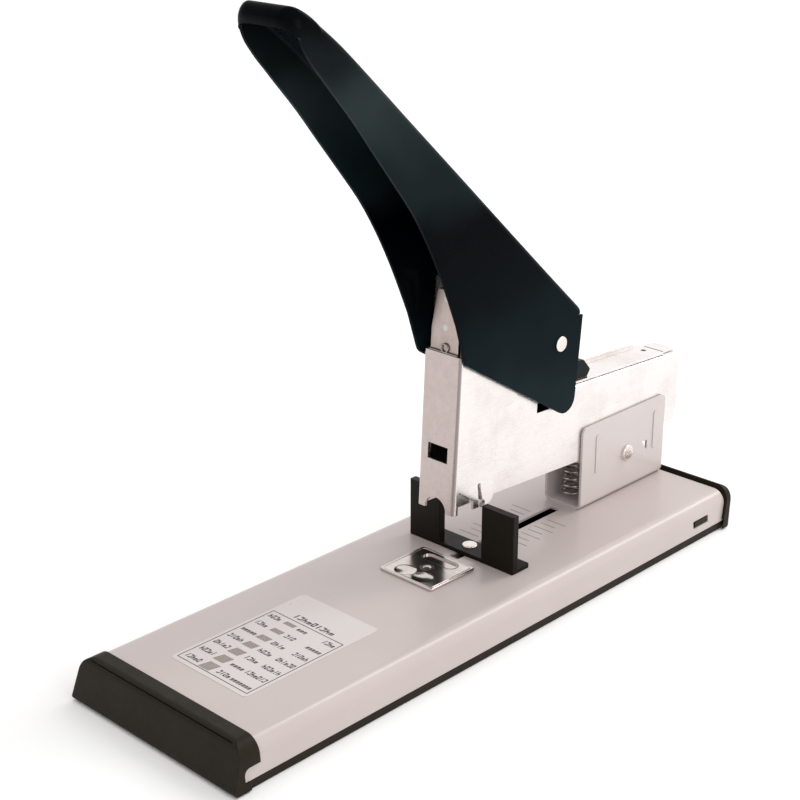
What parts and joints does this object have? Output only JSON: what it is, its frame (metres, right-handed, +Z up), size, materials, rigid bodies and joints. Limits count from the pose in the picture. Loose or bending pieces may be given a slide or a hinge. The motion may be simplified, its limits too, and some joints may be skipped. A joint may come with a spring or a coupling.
{
  "type": "heavy-duty desk stapler",
  "caption": "Long-reach heavy-duty desk stapler with a raised lever handle, tilting magazine head, turning anvil plate and sliding paper guide on a flat base.",
  "frame": {"origin": "middle of the base's underside, on the table", "axes": "+Z up, +Y towards the rear of the base, where the head is pivoted, +X to the right seen from the front"},
  "size_m": [0.0818, 0.2658, 0.2208],
  "materials": {
    "cover_paint": "satin warm light grey paint",
    "bracket_paint": "satin warm light grey paint",
    "handle_paint": "gloss blue-black paint",
    "black_plastic": "fine-grained moulded dark plastic",
    "guide_plastic": "moulded dark plastic",
    "knob_plastic": "moulded black plastic",
    "rubber": "matte",
    "nickel": "bright nickel plate",
    "anvil_chrome": "bright nickel plate",
    "chrome": "bright",
    "zinc": "zinc plated",
    "blade_steel": "ground",
    "spring_steel": "drawn wire",
    "blued_steel": "blued",
    "label_film": "printed film",
    "label_ink": "printing ink",
    "scale_ink": "printing ink"
  },
  "bodies": {
    "base": {"base_cover": "cover_paint", "label_sticker": "label_film", "front_end_cap": "black_plastic", "rear_end_cap": "black_plastic", "base_tray": "black_plastic", "rubber_feet": "rubber", "base_screws": "zinc", "support_bracket": "bracket_paint", "bracket_rivets": "chrome", "head_pivot_bolt": "chrome", "lift_spring": "spring_steel", "anvil_washer": "zinc"},
    "anvil": {"anvil_plate": "anvil_chrome", "anvil_pin": "chrome"},
    "guide": {"paper_guide": "guide_plastic", "guide_rivet": "chrome", "guide_slider": "zinc"},
    "head": {"nose_housing": "nickel", "magazine_housing": "nickel", "spring_seat": "nickel", "handle_pivot_pin": "chrome", "pivot_spacers": "zinc", "return_spring": "spring_steel", "nose_wire_clip": "spring_steel", "side_hairpins": "spring_steel", "latch_pin": "zinc", "latch_spring": "spring_steel"},
    "handle": {"handle_lever": "handle_paint", "handle_link": "zinc", "link_pin": "zinc"},
    "ram": {"ram_channel": "nickel", "driver_blade": "blade_steel", "blade_rivets": "zinc"},
    "rail": {"staple_rail": "blued_steel", "rail_end_block": "nickel", "rail_rivets": "zinc", "spring_rod": "spring_steel", "pusher_spring": "spring_steel"},
    "pusher": {"staple_pusher": "zinc"},
    "latch": {"latch_bar": "nickel", "latch_knob": "knob_plastic"}
  },
  "joints": [
    {"name": "head_pivot", "type": "hinge", "parent": "base", "child": "head", "pos_m": [0, 0.1033, 0.0309], "axis": [1, 0, 0], "range_deg": [0, 11.4], "stiffness_Nm_per_rad": 1.6, "springref_deg": -25.78, "deforming": ["lift_spring"]},
    {"name": "handle_press", "type": "hinge", "parent": "head", "child": "handle", "pos_m": [0, 0.05571, 0.08862], "axis": [1, 0, 0], "range_deg": [0, 40], "stiffness_Nm_per_rad": 0.35, "springref_deg": -51.57, "deforming": ["return_spring"]},
    {"name": "ram_slide", "type": "slide", "parent": "head", "child": "ram", "axis": [0, -0.0523, -0.9986], "range_m": [0, 0.0305]},
    {"name": "anvil_turn", "type": "hinge", "parent": "base", "child": "anvil", "pos_m": [0, -0.0017, 0.0149], "axis": [0, 0, 1], "range_deg": [0, 180]},
    {"name": "guide_slide", "type": "slide", "parent": "base", "child": "guide", "axis": [0, 1, 0], "range_m": [0, 0.046]},
    {"name": "rail_slide", "type": "slide", "parent": "head", "child": "rail", "axis": [0, 0.9986, -0.0523], "range_m": [0, 0.08]},
    {"name": "pusher_slide", "type": "slide", "parent": "rail", "child": "pusher", "axis": [0, 0.9986, -0.0523], "range_m": [0, 0.07], "stiffness_N_per_m": 30, "springref_m": -0.04, "deforming": ["pusher_spring"]},
    {"name": "latch_lift", "type": "hinge", "parent": "head", "child": "latch", "pos_m": [0, 0.06599, 0.06991], "axis": [1, 0, 0], "range_deg": [0, 4], "stiffness_Nm_per_rad": 0.15, "springref_deg": -11.46}
  ],
  "couplings": [
    {"joint": "ram_slide", "follows": "handle_press", "m_per_rad": 0.04321}
  ]
}
